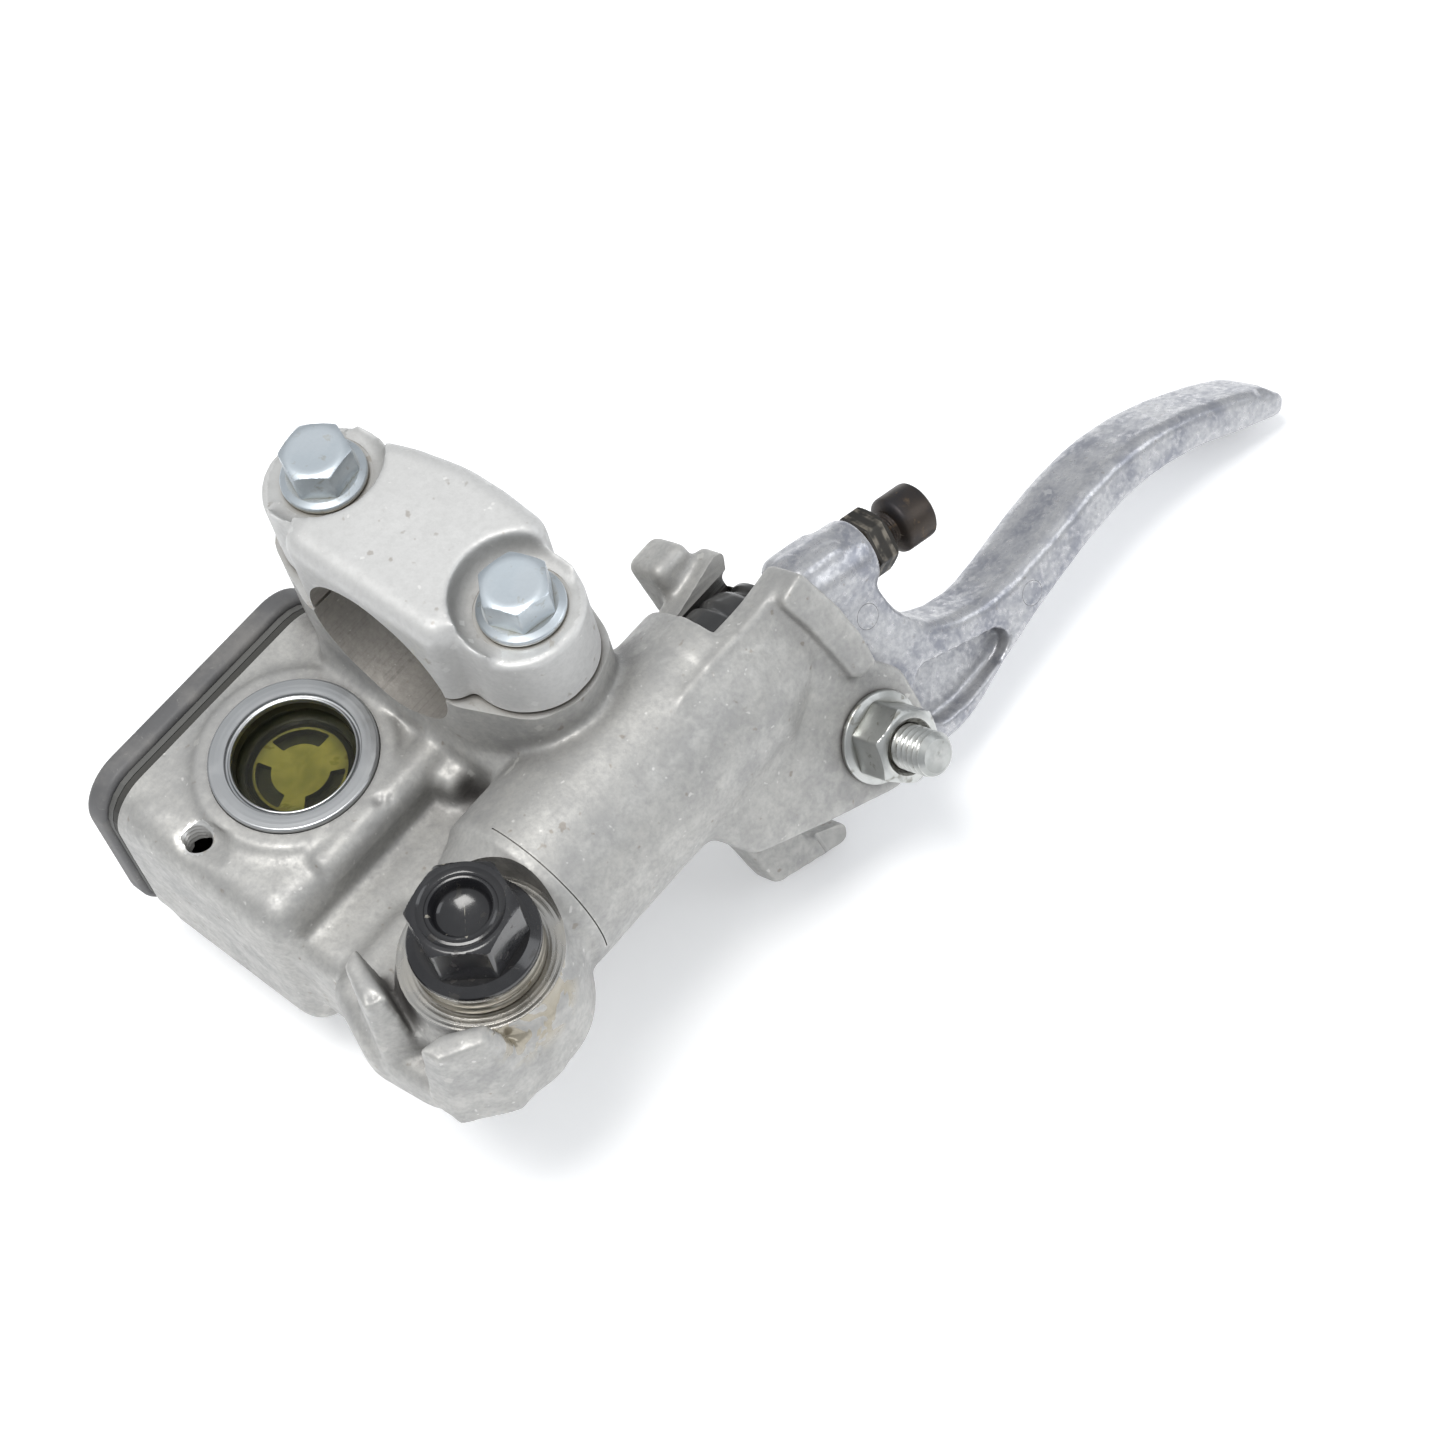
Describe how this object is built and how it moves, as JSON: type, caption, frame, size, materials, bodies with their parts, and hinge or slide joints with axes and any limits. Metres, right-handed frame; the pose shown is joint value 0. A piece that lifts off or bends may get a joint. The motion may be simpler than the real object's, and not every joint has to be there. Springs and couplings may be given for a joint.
{
  "type": "brake master cylinder",
  "caption": "Handlebar brake master cylinder: two-bolt bar clamp, fluid reservoir with sight glass, hinged brake lever with adjuster screw, spring-loaded piston and banjo outlet bolt.",
  "frame": {"origin": "centre of the underside of the bounding box, with the assembly at rest", "axes": "+X along the handlebar from the reservoir towards the lever tip, +Y towards the reservoir cap (up on the bike), +Z along the clamp bolts towards the rider"},
  "size_m": [0.1546, 0.082, 0.0687],
  "materials": {
    "cast_body": "weathered as-cast, mottled warm grey",
    "cast_clamp": "weathered as-cast, lighter grey",
    "cast_lever": "semi-polished, stained",
    "cap_grey": "matte dark grey, dusty",
    "zinc": "bright zinc plate, faintly stained",
    "zinc_dull": "dull zinc plate with grime",
    "machined": "bright turned",
    "black_oxide": "glossy black, edges worn",
    "black_worn": "worn brownish black",
    "washer": "dull, tarnished edge",
    "rubber": "moulded",
    "lens": "clear, aged to a faint olive",
    "reflector": "olive yellow, wet",
    "plastic": "moulded",
    "spring_steel": "plain",
    "piston_alloy": "turned and anodised"
  },
  "bodies": {
    "housing": {"master_body": "cast_body", "reservoir_cap": "cap_grey", "diaphragm": "rubber", "diaphragm_plate": "plastic", "cap_screw_inner": "zinc", "cap_screw_outer": "zinc", "sight_glass_bezel": "machined", "sight_glass_seal": "rubber", "sight_glass_lens": "lens", "sight_glass_reflector": "reflector", "clamp_cap": "cast_clamp", "clamp_bolt_upper": "zinc", "clamp_bolt_lower": "zinc", "banjo_bolt": "black_oxide", "banjo_washer_lower": "washer", "banjo_washer_upper": "washer", "pivot_bolt": "zinc_dull", "pivot_nut": "zinc_dull", "circlip": "spring_steel", "return_spring": "spring_steel", "dust_boot": "rubber"},
    "lever": {"brake_lever": "cast_lever", "adjuster_lock_nut": "black_oxide"},
    "adjuster": {"adjuster_screw": "black_worn"},
    "piston": {"piston": "piston_alloy", "primary_cup": "rubber", "secondary_cup": "rubber", "spring_seat": "plastic"}
  },
  "joints": [
    {"name": "lever_pivot", "type": "hinge", "parent": "housing", "child": "lever", "pos_m": [-0.00412, -0.02137, 0.02038], "axis": [0, -0.8829, 0.4695], "range_deg": [0, 18]},
    {"name": "piston_stroke", "type": "slide", "parent": "housing", "child": "piston", "axis": [-1, 0, 0], "range_m": [0, 0.006], "deforming": ["return_spring", "dust_boot"]},
    {"name": "adjuster_turn", "type": "hinge", "parent": "lever", "child": "adjuster", "pos_m": [0.01158, -0.01425, 0.03378], "axis": [0.9703, -0.1136, -0.2136], "range_deg": [-180, 180]}
  ],
  "couplings": [
    {"joint": "piston_stroke", "follows": "lever_pivot", "m_per_rad": 0.0181}
  ]
}
